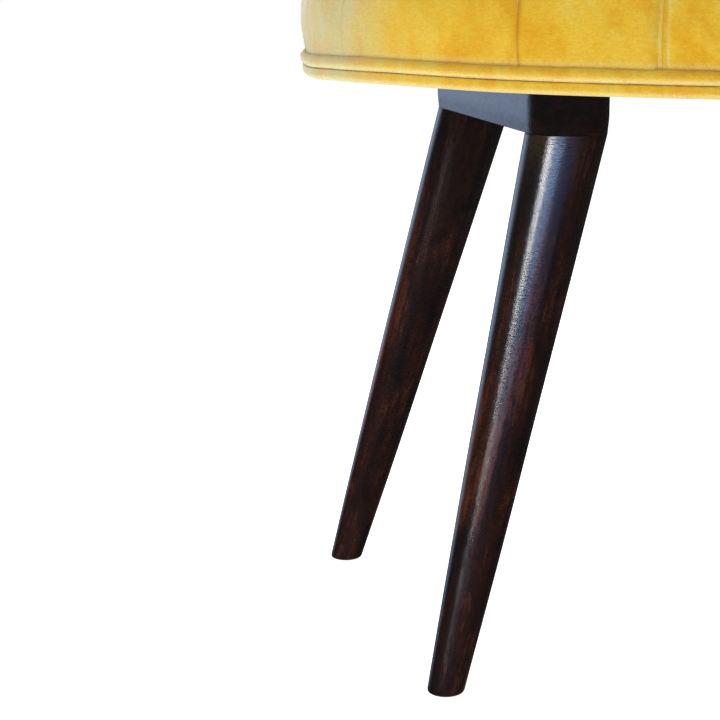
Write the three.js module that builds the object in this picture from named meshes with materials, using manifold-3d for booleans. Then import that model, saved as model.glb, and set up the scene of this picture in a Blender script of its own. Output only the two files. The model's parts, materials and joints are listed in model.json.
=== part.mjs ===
import * as THREE from 'three';
import { mergeVertices } from 'three/addons/utils/BufferGeometryUtils.js';
import Module from 'manifold-3d';

// A small curved sofa: an oval seat with a rolled rim, a wrap-around back and two pairs of splayed legs.
// Millimetres. X runs along the sofa, -Y is its front, +Z is up, and the floor is z = 0.

// The gap between neighbouring solids, and the thickness of the velvet covers.
const GAP = 0.3;
const COVER_THICKNESS = 2.5;

// The oval seat, measured to the widest line of its rolled rim.
const BASE_UNDERSIDE = 369.5;
const SEAT_HALF_LENGTH = 672;
const SEAT_HALF_DEPTH = 373;
const SEAT_TOP = BASE_UNDERSIDE + 105;
const RIM_WIDEST_Z = BASE_UNDERSIDE + 33;
const RIM_ROLL_WIDTH = 70;
const RIM_UNDERCUT_RADIUS = 60;

// The upholstered edge under the rim.
const BAND_TOP = BASE_UNDERSIDE + 7;
const PIPING_RADIUS = 4.25;
const PIPING_INSET = 3.05;
const PIPING_Z = BASE_UNDERSIDE + 11.5;
const COVER_HEM_Z = BASE_UNDERSIDE + 16.2;
const BAND_THICKNESS = 1.6;
const BAND_TURN_UNDER = 25;

// The frame inside the seat.
const PANEL_BOTTOM = BASE_UNDERSIDE + 1.9;
const PANEL_TOP = PANEL_BOTTOM + 12;
const PANEL_INSET = 8;
const RAIL_BOTTOM = PANEL_TOP + GAP;
const RAIL_TOP = RAIL_BOTTOM + 39;
const RAIL_OUTER_INSET = 22;
const RAIL_INNER_INSET = 44;
const CROSS_RAIL_WIDTH = 30;
const CROSS_RAIL_OFFSET = 330;
const STRAP_WIDTH = 50;
const STRAP_THICKNESS = 1.5;
const SHORT_STRAP_PITCH = 220;
const LONG_STRAP_OFFSET = 110;
const FOAM_BOTTOM = RAIL_TOP + 4;

// The legs and the blocks that carry them.
const LEG_TOP_X = 531;
const LEG_TOP_Y = 105.4;
const LEG_TOP_Z = 340;
const LEG_SPLAY_X = 85.1;
const LEG_SPLAY_Y = 42.5;
const LEG_TOP_RADIUS = 25.3;
const LEG_FOOT_RADIUS = 11.7;
const LEG_BELLY = 0.7;
const LEG_FOOT_Z = 1;
const LEG_FOOT_ROUND = 1.5;
const LEG_SIDES = 48;
const STUD_RADIUS = 5;
const STUD_BOTTOM = LEG_TOP_Z - 36;
const STUD_TOP = LEG_TOP_Z + 18;
const GLIDE_RADIUS = 7;
const GLIDE_HEIGHT = 2;
const BLOCK_RADIUS = LEG_TOP_RADIUS + 0.9;
const BLOCK_TOP = BASE_UNDERSIDE - GAP;
const BLOCK_SCREW_Y = 48;
const SCREW_RADIUS = 3.3;
const SCREW_HEAD_RADIUS = 7;
const SCREW_HEAD_TOP = LEG_TOP_Z + 7;
const SCREW_HEAD_HEIGHT = 4.2;

// The wrap-around back, measured inward from the rim's widest line.
const BACK_BASE = SEAT_TOP + 1;
const BACK_START = THREE.MathUtils.degToRad(-12);
const BACK_END = Math.PI - BACK_START;
const BACK_TOP_CENTRE = 775;
const BACK_TOP_ENDS = 590;
const BACK_FRAME_OUTER = 54;
const BACK_FRAME_INNER = 76;
const BACK_RAIL_HEIGHT = 40;
const TOP_RAIL_HEIGHT = 24;
const BACK_STEPS = 25;
const BACK_POST_SPANS = [1, 7, 12, 17, 23];
const POST_TOP_CLEARANCE = 4;
const TOP_RAIL_DROP = 38;
const PADDING_CLEARANCE = 3;
const CANVAS_INSET = 76.5;
const CANVAS_THICKNESS = 1.5;
const CANVAS_TOP_DROP = 42;
const CANVAS_BASE = BACK_BASE + 5;
const FACING_TURN = 0.012;
const FACING_SEAM = 0.003;
const FACING_LAP = 0.0003;
const BACK_FRAME_TURN = 0.09;
const FACING_OUTER = 53.2;
const BACK_PIPING_RADIUS = 4;
const BACK_PIPING_INSET = 47.3;
const BACK_PIPING_DROP = 16;

// The back's inner face as shares of its height with the inset there, and the roll over its top.
const BACK_FACE = [[0.02, 130], [0.18, 136], [0.36, 135], [0.52, 128]];
const ROLL_CENTRE_INSET = 86;
const ROLL_CENTRE_DROP = 33;
const ROLL_HALF_WIDTH = 33;
const ROLL_HEIGHT = 29.7;

// The buttons that draw the seat down.
const BUTTON_RADIUS = 11.6;
const BUTTON_PITCH = 180;
const BUTTON_FRONT_Y = -165;
const BUTTON_MIDDLE_Y = 5;
const BUTTON_FLOOR = SEAT_TOP - 20;

const RING_STEPS = 48;
const ROUND_SIDES = 12;
const PIPING_SIDES = 8;

const wasm = await Module();
wasm.setup();

const lacquer = { color: 0x2a1610, roughness: 0.22, metalness: 0 };
const velvet = { color: 0xe8b52c, roughness: 0.85, metalness: 0 };
const birchPly = { color: 0xcaa877, roughness: 0.7, metalness: 0 };
const beech = { color: 0xc79a6b, roughness: 0.7, metalness: 0 };
const foam = { color: 0xf0ead2, roughness: 0.95, metalness: 0 };
const jute = { color: 0xa58b5e, roughness: 0.95, metalness: 0 };
const blackCloth = { color: 0x1c1c1e, roughness: 0.95, metalness: 0 };
const steel = { color: 0x9a9da1, roughness: 0.35, metalness: 1 };
const nylon = { color: 0x1b1b1b, roughness: 0.5, metalness: 0 };

const sofa = new THREE.Group();
sofa.name = 'curved_sofa';

function addPiece(name, geometry, look) {
  const mesh = new THREE.Mesh(geometry, new THREE.MeshStandardMaterial(look));
  mesh.name = name;
  sofa.add(mesh);
}

// ---- Closed solids ----

// A triangle mesh from its corners, turned so that its faces point out.
function solidFrom(points, faces) {
  let volume = 0;
  for (const [i, j, k] of faces) {
    const [a, b, c] = [points[i], points[j], points[k]];
    volume += a[0] * (b[1] * c[2] - b[2] * c[1]);
    volume += a[1] * (b[2] * c[0] - b[0] * c[2]);
    volume += a[2] * (b[0] * c[1] - b[1] * c[0]);
  }
  const outward = volume > 0 ? faces : faces.map(([i, j, k]) => [i, k, j]);
  const geometry = new THREE.BufferGeometry();
  geometry.setAttribute('position', new THREE.Float32BufferAttribute(points.flat(), 3));
  geometry.setIndex(outward.flat());
  return geometry;
}

// Joins the shared corners of a library shape and drops the triangles that this leaves without area.
function welded(shape) {
  shape.deleteAttribute('normal');
  shape.deleteAttribute('uv');
  const merged = mergeVertices(shape, 1e-3);
  const index = Array.from(merged.index.array);
  const kept = [];
  for (let i = 0; i < index.length; i += 3) {
    const [a, b, c] = index.slice(i, i + 3);
    if (a !== b && b !== c && c !== a) kept.push(a, b, c);
  }
  merged.setIndex(kept);
  return merged;
}

function toManifold(geometry) {
  const vertProperties = new Float32Array(geometry.attributes.position.array);
  const triVerts = new Uint32Array(geometry.index.array);
  return new wasm.Manifold(new wasm.Mesh({ numProp: 3, vertProperties, triVerts }));
}

function fromManifold(body) {
  const mesh = body.getMesh();
  const geometry = new THREE.BufferGeometry();
  geometry.setAttribute('position', new THREE.BufferAttribute(mesh.vertProperties, 3));
  geometry.setIndex(new THREE.BufferAttribute(mesh.triVerts, 1));
  return geometry;
}

function cut(geometry, tools) {
  return fromManifold(tools.reduce((body, tool) => body.subtract(toManifold(tool)), toManifold(geometry)));
}

function joined(geometry, others) {
  return fromManifold(others.reduce((body, other) => body.add(toManifold(other)), toManifold(geometry)));
}

function trimmedTo(geometry, space) {
  return fromManifold(toManifold(geometry).intersect(toManifold(space)));
}

function box(low, high) {
  const size = high.map((value, i) => value - low[i]);
  const shape = new THREE.BoxGeometry(...size);
  shape.translate(...low.map((value, i) => value + size[i] / 2));
  return welded(shape);
}

// A turned solid about a vertical axis; its profile is [radius, z] points that start and end on the axis.
function turned(profile, sides) {
  const points = profile.map(([radius, z]) => new THREE.Vector2(radius, z));
  return welded(new THREE.LatheGeometry(points, sides).rotateX(Math.PI / 2));
}

function cylinder(radius, low, high, sides, x = 0, y = 0) {
  return turned([[0, low], [radius, low], [radius, high], [0, high]], sides).translate(x, y, 0);
}

// ---- The oval and what is swept around it ----

// The point of the oval at an angle, moved inward by an inset.
function ovalPoint(angle, inset, z) {
  const normal = new THREE.Vector2(SEAT_HALF_DEPTH * Math.cos(angle), SEAT_HALF_LENGTH * Math.sin(angle));
  normal.normalize();
  const x = SEAT_HALF_LENGTH * Math.cos(angle) - inset * normal.x;
  const y = SEAT_HALF_DEPTH * Math.sin(angle) - inset * normal.y;
  return [x, y, z];
}

const ringAngles = Array.from({ length: RING_STEPS }, (_, i) => (2 * Math.PI * i) / RING_STEPS);
const backAngles = Array.from({ length: BACK_STEPS + 1 }, (_, i) => (
  BACK_START + ((BACK_END - BACK_START) * i) / BACK_STEPS
));

// Faces between the rows of a grid of points; either direction of the grid may close on itself.
function sideFaces(rows, columns, rowsClose, columnsClose = true) {
  const faces = [];
  for (let row = 0; row < (rowsClose ? rows : rows - 1); row += 1) {
    const next = (row + 1) % rows;
    for (let column = 0; column < (columnsClose ? columns : columns - 1); column += 1) {
      const after = (column + 1) % columns;
      const corners = [[row, column], [next, column], [next, after], [row, after]];
      const [a, b, c, d] = corners.map(([r, k]) => r * columns + k);
      faces.push([a, b, c], [a, c, d]);
    }
  }
  return faces;
}

// A ring around the whole oval, from a closed section of [inset, z] points.
function ring(section) {
  const points = ringAngles.flatMap((angle) => section.map(([inset, z]) => ovalPoint(angle, inset, z)));
  return solidFrom(points, sideFaces(RING_STEPS, section.length, true));
}

// The triangles that fill a section, going round it the same way as its points do.
function capFaces(section) {
  const outline = section.map(([inset, z]) => new THREE.Vector2(inset, z));
  const faces = THREE.ShapeUtils.triangulateShape(outline, []);
  const sameWay = THREE.ShapeUtils.area(faces[0].map((i) => outline[i])) * THREE.ShapeUtils.area(outline) > 0;
  return sameWay ? faces : faces.map(([a, b, c]) => [a, c, b]);
}

// A solid with end caps, swept along part of the oval by a section that may change on its way.
function sweep(angles, sectionAt) {
  const sections = angles.map(sectionAt);
  const columns = sections[0].length;
  const points = sections.flatMap((section, i) => (
    section.map(([inset, z]) => ovalPoint(angles[i], inset, z))
  ));
  const last = (angles.length - 1) * columns;
  const endCap = capFaces(sections.at(-1)).map(([a, b, c]) => [a + last, c + last, b + last]);
  const sides = sideFaces(angles.length, columns, false);
  return solidFrom(points, [...sides, ...capFaces(sections[0]), ...endCap]);
}

// A solid that fills the oval between an upper and a lower surface. Each profile runs inward from the edge.
function filledOval(upper, lower) {
  const rim = [...lower.toReversed(), ...upper];
  const points = ringAngles.flatMap((angle) => rim.map(([inset, z]) => ovalPoint(angle, inset, z)));
  const columns = rim.length;
  const faces = sideFaces(RING_STEPS, columns, true, false);
  const middleLow = points.push([0, 0, lower.at(-1)[1]]) - 1;
  const middleHigh = points.push([0, 0, upper.at(-1)[1]]) - 1;
  for (let i = 0; i < RING_STEPS; i += 1) {
    const next = (i + 1) % RING_STEPS;
    faces.push([i * columns, middleLow, next * columns]);
    faces.push([i * columns + columns - 1, next * columns + columns - 1, middleHigh]);
  }
  return solidFrom(points, faces);
}

function flatOval(inset, bottom, top) {
  return filledOval([[inset, top]], [[inset, bottom]]);
}

// ---- Seat ----

// The rolled rim's outer line from its hem to the top, set in by the thickness of what lies over it.
function rimProfile(depth, lowest = COVER_HEM_Z) {
  const below = [lowest, (lowest + RIM_WIDEST_Z) / 2].filter((z) => z < RIM_WIDEST_Z).map((z) => {
    const drop = RIM_WIDEST_Z - z;
    const undercut = RIM_UNDERCUT_RADIUS - Math.sqrt(RIM_UNDERCUT_RADIUS ** 2 - drop ** 2);
    return [undercut + depth, z];
  });
  const rise = SEAT_TOP - RIM_WIDEST_Z;
  const steps = 4;
  const above = Array.from({ length: steps + 1 }, (_, i) => {
    const turn = (Math.PI / 2) * (i / steps);
    const inset = RIM_ROLL_WIDTH - (RIM_ROLL_WIDTH - depth) * Math.cos(turn);
    return [inset, RIM_WIDEST_Z + (rise - depth) * Math.sin(turn)];
  });
  return [...below, ...above];
}

// The inset of a profile at a height between two of its points.
function insetAt(profile, z) {
  const above = profile.findIndex(([, height]) => height > z);
  const [low, high] = [profile[above - 1], profile[above]];
  return THREE.MathUtils.mapLinear(z, low[1], high[1], low[0], high[0]);
}

function buttonPlaces() {
  const front = [-1.5, -0.5, 0.5, 1.5].map((step) => [step * BUTTON_PITCH, BUTTON_FRONT_Y]);
  const middle = [-2, -1, 0, 1, 2].map((step) => [step * BUTTON_PITCH, BUTTON_MIDDLE_Y]);
  return [...front, ...middle];
}

function buttonWells(radius) {
  return buttonPlaces().map(([x, y]) => cylinder(radius, BUTTON_FLOOR, SEAT_TOP + 5, ROUND_SIDES, x, y));
}

function addSeatUpholstery() {
  const foamDepth = COVER_THICKNESS + GAP;
  const cover = filledOval(rimProfile(0), rimProfile(COVER_THICKNESS));
  const wellRadius = BUTTON_RADIUS + GAP;
  addPiece('seat_cover', cut(cover, buttonWells(wellRadius)), velvet);

  const inside = rimProfile(foamDepth);
  const slabEdge = [insetAt(inside, FOAM_BOTTOM), FOAM_BOTTOM];
  const slabFace = inside.filter(([, z]) => z > FOAM_BOTTOM);
  const slab = filledOval([slabEdge, ...slabFace], [[slabEdge[0] + 1, FOAM_BOTTOM]]);
  addPiece('seat_foam', cut(slab, buttonWells(wellRadius)), foam);

  const rollTop = FOAM_BOTTOM - GAP;
  const rollFace = [...inside.filter(([, z]) => z < rollTop), [insetAt(inside, rollTop), rollTop]];
  const rollInset = RAIL_OUTER_INSET - GAP;
  addPiece('rim_padding', ring([...rollFace, [rollInset, rollTop], [rollInset, COVER_HEM_Z]]), foam);

  buttonPlaces().forEach(([x, y], i) => {
    const low = BUTTON_FLOOR + GAP;
    const underside = [[0, low], [9, low], [BUTTON_RADIUS, low + 2.5]];
    const dome = [[9.5, low + 5], [5, low + 6.5], [0, low + 7]];
    addPiece(`seat_button_${i + 1}`, turned([...underside, ...dome], ROUND_SIDES).translate(x, y, 0), velvet);
  });
}

function addSeatEdge() {
  const piping = Array.from({ length: PIPING_SIDES }, (_, i) => {
    const turn = (2 * Math.PI * i) / PIPING_SIDES;
    return [PIPING_INSET + PIPING_RADIUS * Math.cos(turn), PIPING_Z + PIPING_RADIUS * Math.sin(turn)];
  });
  addPiece('seat_piping', ring(piping), velvet);
  const lip = BASE_UNDERSIDE + BAND_THICKNESS;
  const outside = [[3.5, BASE_UNDERSIDE], [1.2, BASE_UNDERSIDE + 2], [0.7, BAND_TOP - 2], [0.9, BAND_TOP]];
  const inside = [[3.4, BAND_TOP], [3.7, lip], [BAND_TURN_UNDER, lip], [BAND_TURN_UNDER, BASE_UNDERSIDE]];
  addPiece('border_band', ring([...outside, ...inside]), velvet);
}

// ---- Seat frame ----

function screwPlaces() {
  return [-1, 1].flatMap((side) => [-1, 1].map((end) => [side, end, side * LEG_TOP_X, end * BLOCK_SCREW_Y]));
}

function addBasePanels() {
  const holeRadius = SCREW_RADIUS + GAP;
  const screwHoles = screwPlaces().map(([, , x, y]) => (
    cylinder(holeRadius, LEG_TOP_Z, RAIL_BOTTOM, ROUND_SIDES, x, y)
  ));
  const panel = flatOval(PANEL_INSET, PANEL_BOTTOM, PANEL_TOP);
  addPiece('base_panel', cut(panel, screwHoles), birchPly);
  const dustCover = flatOval(BAND_TURN_UNDER + GAP, BASE_UNDERSIDE, BASE_UNDERSIDE + 1);
  addPiece('dust_cover', cut(dustCover, screwHoles), blackCloth);
}

// The four curved rails of the seat, butt jointed where the ends meet the long rails.
function addSeatRails() {
  const quarter = RING_STEPS / 4;
  const endSteps = 5;
  const joint = 0.0012;
  const section = [
    [RAIL_OUTER_INSET, RAIL_BOTTOM],
    [RAIL_OUTER_INSET, RAIL_TOP],
    [RAIL_INNER_INSET, RAIL_TOP],
    [RAIL_INNER_INSET, RAIL_BOTTOM],
  ];
  const rails = [
    ['seat_rail_right_end', 0, endSteps],
    ['seat_rail_rear', quarter, quarter - endSteps],
    ['seat_rail_left_end', 2 * quarter, endSteps],
    ['seat_rail_front', 3 * quarter, quarter - endSteps],
  ];
  for (const [name, middle, reach] of rails) {
    const count = 2 * reach + 1;
    const angles = Array.from({ length: count }, (_, i) => (
      (2 * Math.PI * (middle - reach + i)) / RING_STEPS
    ));
    angles[0] += joint;
    angles[count - 1] -= joint;
    addPiece(name, sweep(angles, () => section), beech);
  }
}

function addCrossRails() {
  const space = flatOval(RAIL_INNER_INSET + GAP, RAIL_BOTTOM, RAIL_TOP);
  const rails = { left: -CROSS_RAIL_OFFSET, centre: 0, right: CROSS_RAIL_OFFSET };
  for (const [name, x] of Object.entries(rails)) {
    const half = CROSS_RAIL_WIDTH / 2;
    const rail = box([x - half, -SEAT_HALF_DEPTH, RAIL_BOTTOM], [x + half, SEAT_HALF_DEPTH, RAIL_TOP]);
    addPiece(`cross_rail_${name}`, trimmedTo(rail, space), beech);
  }
}

// Webbing in two layers: short straps over the rails, long straps laid across them.
function addWebbing() {
  const half = STRAP_WIDTH / 2;
  const space = flatOval(RAIL_OUTER_INSET + 4, RAIL_TOP, FOAM_BOTTOM);
  const low = RAIL_TOP + GAP;
  [-2, -1, 0, 1, 2].forEach((step, i) => {
    const x = step * SHORT_STRAP_PITCH;
    const reach = SEAT_HALF_DEPTH;
    const strap = box([x - half, -reach, low], [x + half, reach, low + STRAP_THICKNESS]);
    addPiece(`short_webbing_${i + 1}`, trimmedTo(strap, space), jute);
  });
  const upper = low + STRAP_THICKNESS + GAP;
  [-LONG_STRAP_OFFSET, LONG_STRAP_OFFSET].forEach((y, i) => {
    const reach = SEAT_HALF_LENGTH;
    const strap = box([-reach, y - half, upper], [reach, y + half, upper + STRAP_THICKNESS]);
    addPiece(`long_webbing_${i + 1}`, trimmedTo(strap, space), jute);
  });
}

// ---- Legs ----

// Leans an upright solid so that it passes through a leg's top and foot; level slices stay level.
function leaned(geometry, side, end) {
  const leanX = (side * LEG_SPLAY_X) / LEG_TOP_Z;
  const leanY = (end * LEG_SPLAY_Y) / LEG_TOP_Z;
  const lean = new THREE.Matrix4().set(
    1, 0, -leanX, side * (LEG_TOP_X + LEG_SPLAY_X),
    0, 1, -leanY, end * (LEG_TOP_Y + LEG_SPLAY_Y),
    0, 0, 1, 0,
    0, 0, 0, 1,
  );
  return geometry.applyMatrix4(lean);
}

function addLeg(name, side, end) {
  const middle = [(LEG_TOP_RADIUS + LEG_FOOT_RADIUS) / 2 + LEG_BELLY, LEG_TOP_Z / 2];
  const profile = [
    [0, LEG_FOOT_Z],
    [LEG_FOOT_RADIUS - LEG_FOOT_ROUND, LEG_FOOT_Z],
    [LEG_FOOT_RADIUS, LEG_FOOT_Z + LEG_FOOT_ROUND],
    middle,
    [LEG_TOP_RADIUS, LEG_TOP_Z],
    [0, LEG_TOP_Z],
  ];
  const leg = leaned(turned(profile, LEG_SIDES), side, end);
  const hole = cylinder(STUD_RADIUS + GAP, STUD_BOTTOM - GAP, LEG_TOP_Z + 1, ROUND_SIDES);
  const glideSeat = cylinder(GLIDE_RADIUS + GAP, -1, GLIDE_HEIGHT + GAP, ROUND_SIDES);
  const stud = cylinder(STUD_RADIUS, STUD_BOTTOM, STUD_TOP, ROUND_SIDES);
  const glide = cylinder(GLIDE_RADIUS, 0, GLIDE_HEIGHT, ROUND_SIDES);
  addPiece(`leg_${name}`, cut(leg, [hole, glideSeat].map((tool) => leaned(tool, side, end))), lacquer);
  addPiece(`leg_stud_${name}`, leaned(stud, side, end), steel);
  addPiece(`foot_glide_${name}`, leaned(glide, side, end), nylon);
}

// A rounded bar that joins the tops of a pair of legs, with blind holes for their studs.
function addLegBlock(name, side) {
  const outline = new THREE.Shape();
  outline.absarc(0, LEG_TOP_Y, BLOCK_RADIUS, 0, Math.PI);
  outline.absarc(0, -LEG_TOP_Y, BLOCK_RADIUS, Math.PI, 2 * Math.PI);
  outline.closePath();
  const bottom = LEG_TOP_Z + GAP;
  const depth = BLOCK_TOP - bottom;
  const curveSegments = LEG_SIDES / 2;
  const bar = new THREE.ExtrudeGeometry(outline, { depth, bevelEnabled: false, curveSegments });
  const block = welded(bar.translate(side * LEG_TOP_X, 0, bottom));
  const studHoles = [-1, 1].map((end) => (
    leaned(cylinder(STUD_RADIUS + GAP, LEG_TOP_Z - 1, STUD_TOP + GAP, ROUND_SIDES), side, end)
  ));
  const screwHoles = [-1, 1].flatMap((end) => {
    const place = [side * LEG_TOP_X, end * BLOCK_SCREW_Y];
    return [
      cylinder(SCREW_RADIUS + GAP, bottom - 1, BLOCK_TOP + 1, ROUND_SIDES, ...place),
      cylinder(SCREW_HEAD_RADIUS + 2 * GAP, bottom - 1, SCREW_HEAD_TOP + GAP, ROUND_SIDES, ...place),
    ];
  });
  addPiece(`leg_block_${name}`, cut(block, [...studHoles, ...screwHoles]), lacquer);
}

function addBlockScrews() {
  const low = SCREW_HEAD_TOP - SCREW_HEAD_HEIGHT;
  const tip = PANEL_TOP - 1;
  const names = { '-1': 'left', 1: 'right' };
  const ends = { '-1': 'front', 1: 'rear' };
  for (const [side, end, x, y] of screwPlaces()) {
    const head = [[0, low], [SCREW_HEAD_RADIUS, low], [SCREW_HEAD_RADIUS, SCREW_HEAD_TOP]];
    const shank = [[SCREW_RADIUS, SCREW_HEAD_TOP], [SCREW_RADIUS, tip], [0, tip]];
    const screw = turned([...head, ...shank], ROUND_SIDES).translate(x, y, 0);
    addPiece(`block_screw_${names[side]}_${ends[end]}`, screw, steel);
  }
}

function addLegs() {
  for (const [sideName, side] of [['left', -1], ['right', 1]]) {
    addLeg(`front_${sideName}`, side, -1);
    addLeg(`rear_${sideName}`, side, 1);
    addLegBlock(sideName, side);
  }
  addBlockScrews();
}

// ---- Back ----

// The back is highest in the middle and sweeps down to low arms at both ends.
function backTop(angle) {
  const dip = Math.sin(BACK_START);
  const rise = (Math.sin(angle) - dip) / (1 - dip);
  return BACK_TOP_ENDS + (BACK_TOP_CENTRE - BACK_TOP_ENDS) * THREE.MathUtils.smoothstep(rise, 0, 1);
}

// The padded line of the back, from the seat up its inner face and over the top roll to the piping.
function paddedLine(top, swell) {
  const height = top - BACK_BASE;
  const inner = BACK_FACE.map(([share, inset]) => [inset + swell, BACK_BASE + share * height]);
  const centreZ = top - ROLL_CENTRE_DROP;
  const roll = [0, 1 / 3, 2 / 3, 1].map((share) => {
    const turn = share * Math.PI * 0.5;
    const inset = ROLL_CENTRE_INSET + (ROLL_HALF_WIDTH + swell) * Math.cos(turn);
    return [inset, centreZ + (ROLL_HEIGHT + swell) * Math.sin(turn)];
  });
  return [...inner, ...roll, [66, top - 5 + swell], [52.3, top - 11]];
}

// The swept angles of a piece that stops short of both ends of the back.
function anglesBetweenEnds(turn) {
  return [BACK_START + turn, ...backAngles.slice(1, -1), BACK_END - turn];
}

function addBackFrame() {
  const frameAngles = anglesBetweenEnds(BACK_FRAME_TURN);
  const bar = (low, high) => [
    [BACK_FRAME_OUTER, low],
    [BACK_FRAME_OUTER, high],
    [BACK_FRAME_INNER, high],
    [BACK_FRAME_INNER, low],
  ];
  const railTop = (angle) => backTop(angle) - TOP_RAIL_DROP;
  const railLow = (angle) => railTop(angle) - TOP_RAIL_HEIGHT;
  const baseTop = BACK_BASE + BACK_RAIL_HEIGHT;
  addPiece('back_base_rail', sweep(frameAngles, () => bar(BACK_BASE, baseTop)), beech);
  addPiece('back_top_rail', sweep(frameAngles, (angle) => bar(railLow(angle), railTop(angle))), beech);
  BACK_POST_SPANS.forEach((span, i) => {
    const section = (angle) => bar(baseTop + GAP, railLow(angle) - POST_TOP_CLEARANCE);
    addPiece(`back_post_${i + 1}`, sweep(backAngles.slice(span, span + 2), section), beech);
  });
  const canvas = (angle) => [
    [CANVAS_INSET, CANVAS_BASE],
    [CANVAS_INSET, backTop(angle) - CANVAS_TOP_DROP],
    [CANVAS_INSET + CANVAS_THICKNESS, backTop(angle) - CANVAS_TOP_DROP],
    [CANVAS_INSET + CANVAS_THICKNESS, CANVAS_BASE],
  ];
  addPiece('back_canvas', sweep(frameAngles, canvas), jute);
}

function addBackUpholstery() {
  const padding = (angle) => {
    const top = backTop(angle);
    const clear = top - TOP_RAIL_DROP + PADDING_CLEARANCE;
    const behind = CANVAS_INSET + CANVAS_THICKNESS + 0.5;
    return [...paddedLine(top, 0), [52.3, clear], [behind, clear], [behind, CANVAS_BASE]];
  };
  addPiece('back_foam', sweep(anglesBetweenEnds(FACING_TURN + FACING_SEAM), padding), foam);

  const innerCover = (angle) => {
    const top = backTop(angle);
    const outside = paddedLine(top, COVER_THICKNESS + PADDING_CLEARANCE);
    const inside = paddedLine(top, PADDING_CLEARANCE).toReversed();
    outside[outside.length - 1] = [48.8, top - 7];
    inside[0] = [50.2, top - 8.6];
    return [...outside, ...inside];
  };
  const facing = (angle) => {
    const top = backTop(angle);
    const front = paddedLine(top, PADDING_CLEARANCE + COVER_THICKNESS - GAP).slice(0, -1);
    return [...front, [FACING_OUTER, top - 8.3], [FACING_OUTER, BACK_BASE]];
  };
  const facings = [
    sweep([BACK_START + FACING_LAP, BACK_START + FACING_TURN], facing),
    sweep([BACK_END - FACING_TURN, BACK_END - FACING_LAP], facing),
  ];
  addPiece('back_inner_cover', joined(sweep(backAngles, innerCover), facings), velvet);

  const outerCover = (angle) => {
    const hem = backTop(angle) - 21;
    const middle = (BACK_BASE + hem) / 2;
    const face = [[50, BACK_BASE], [44.5, middle], [46.5, hem]];
    return [...face, ...face.toReversed().map(([inset, z]) => [inset + COVER_THICKNESS, z])];
  };
  addPiece('back_outer_cover', sweep(backAngles, outerCover), velvet);

  const piping = (angle) => Array.from({ length: PIPING_SIDES }, (_, i) => {
    const turn = (2 * Math.PI * i) / PIPING_SIDES;
    const inset = BACK_PIPING_INSET + BACK_PIPING_RADIUS * Math.cos(turn);
    return [inset, backTop(angle) - BACK_PIPING_DROP + BACK_PIPING_RADIUS * Math.sin(turn)];
  });
  addPiece('back_piping', sweep(backAngles, piping), velvet);
}

addSeatUpholstery();
addSeatEdge();
addBasePanels();
addSeatRails();
addCrossRails();
addWebbing();
addLegs();
addBackFrame();
addBackUpholstery();

export default sofa;
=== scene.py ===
"""A small curved sofa: mustard velvet on an oval seat, a wrap-around back and lacquered, splayed legs."""
import json
import math

import bmesh
import bpy
import numpy as np
from mathutils import Matrix, Vector, noise

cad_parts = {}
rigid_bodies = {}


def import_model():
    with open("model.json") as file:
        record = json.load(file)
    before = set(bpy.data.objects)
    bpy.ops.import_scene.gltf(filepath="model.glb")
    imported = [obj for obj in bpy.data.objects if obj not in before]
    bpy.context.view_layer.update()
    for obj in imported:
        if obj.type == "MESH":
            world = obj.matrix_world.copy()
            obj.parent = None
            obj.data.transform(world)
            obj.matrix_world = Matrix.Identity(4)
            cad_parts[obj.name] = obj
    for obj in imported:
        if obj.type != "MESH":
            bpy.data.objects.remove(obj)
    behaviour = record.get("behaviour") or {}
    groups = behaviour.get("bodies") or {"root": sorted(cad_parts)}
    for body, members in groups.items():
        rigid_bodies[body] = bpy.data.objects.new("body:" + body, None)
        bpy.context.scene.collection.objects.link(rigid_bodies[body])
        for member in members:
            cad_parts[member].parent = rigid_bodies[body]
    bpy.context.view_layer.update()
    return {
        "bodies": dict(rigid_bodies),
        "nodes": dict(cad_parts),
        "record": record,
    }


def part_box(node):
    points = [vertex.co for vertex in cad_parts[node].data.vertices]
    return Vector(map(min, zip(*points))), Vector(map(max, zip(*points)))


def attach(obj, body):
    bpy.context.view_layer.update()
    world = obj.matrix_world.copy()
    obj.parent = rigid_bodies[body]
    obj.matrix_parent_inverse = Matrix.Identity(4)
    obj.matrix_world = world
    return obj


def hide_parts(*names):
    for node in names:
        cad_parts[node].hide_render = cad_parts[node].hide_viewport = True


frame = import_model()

MM = 0.001
ROOT = next(iter(frame["bodies"]))

# ---- Sizes taken from the frame ----

COVER_LOW, COVER_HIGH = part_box("seat_cover")
HALF_LENGTH, HALF_DEPTH = COVER_HIGH.x, COVER_HIGH.y
HEM_Z, SEAT_TOP = COVER_LOW.z, COVER_HIGH.z
BAND_LOW, BAND_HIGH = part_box("border_band")
PIPING_LOW, PIPING_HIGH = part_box("seat_piping")
PIPING_Z = (PIPING_LOW.z + PIPING_HIGH.z) / 2
PIPING_RADIUS = (PIPING_HIGH.z - PIPING_LOW.z) / 2
PIPING_INSET = HALF_LENGTH + PIPING_RADIUS - PIPING_HIGH.x
BACK_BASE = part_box("back_outer_cover")[0].z
BACK_PUFF_ROOM = 5.5 * MM
BACK_TOP_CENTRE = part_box("back_inner_cover")[1].z - BACK_PUFF_ROOM

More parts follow.
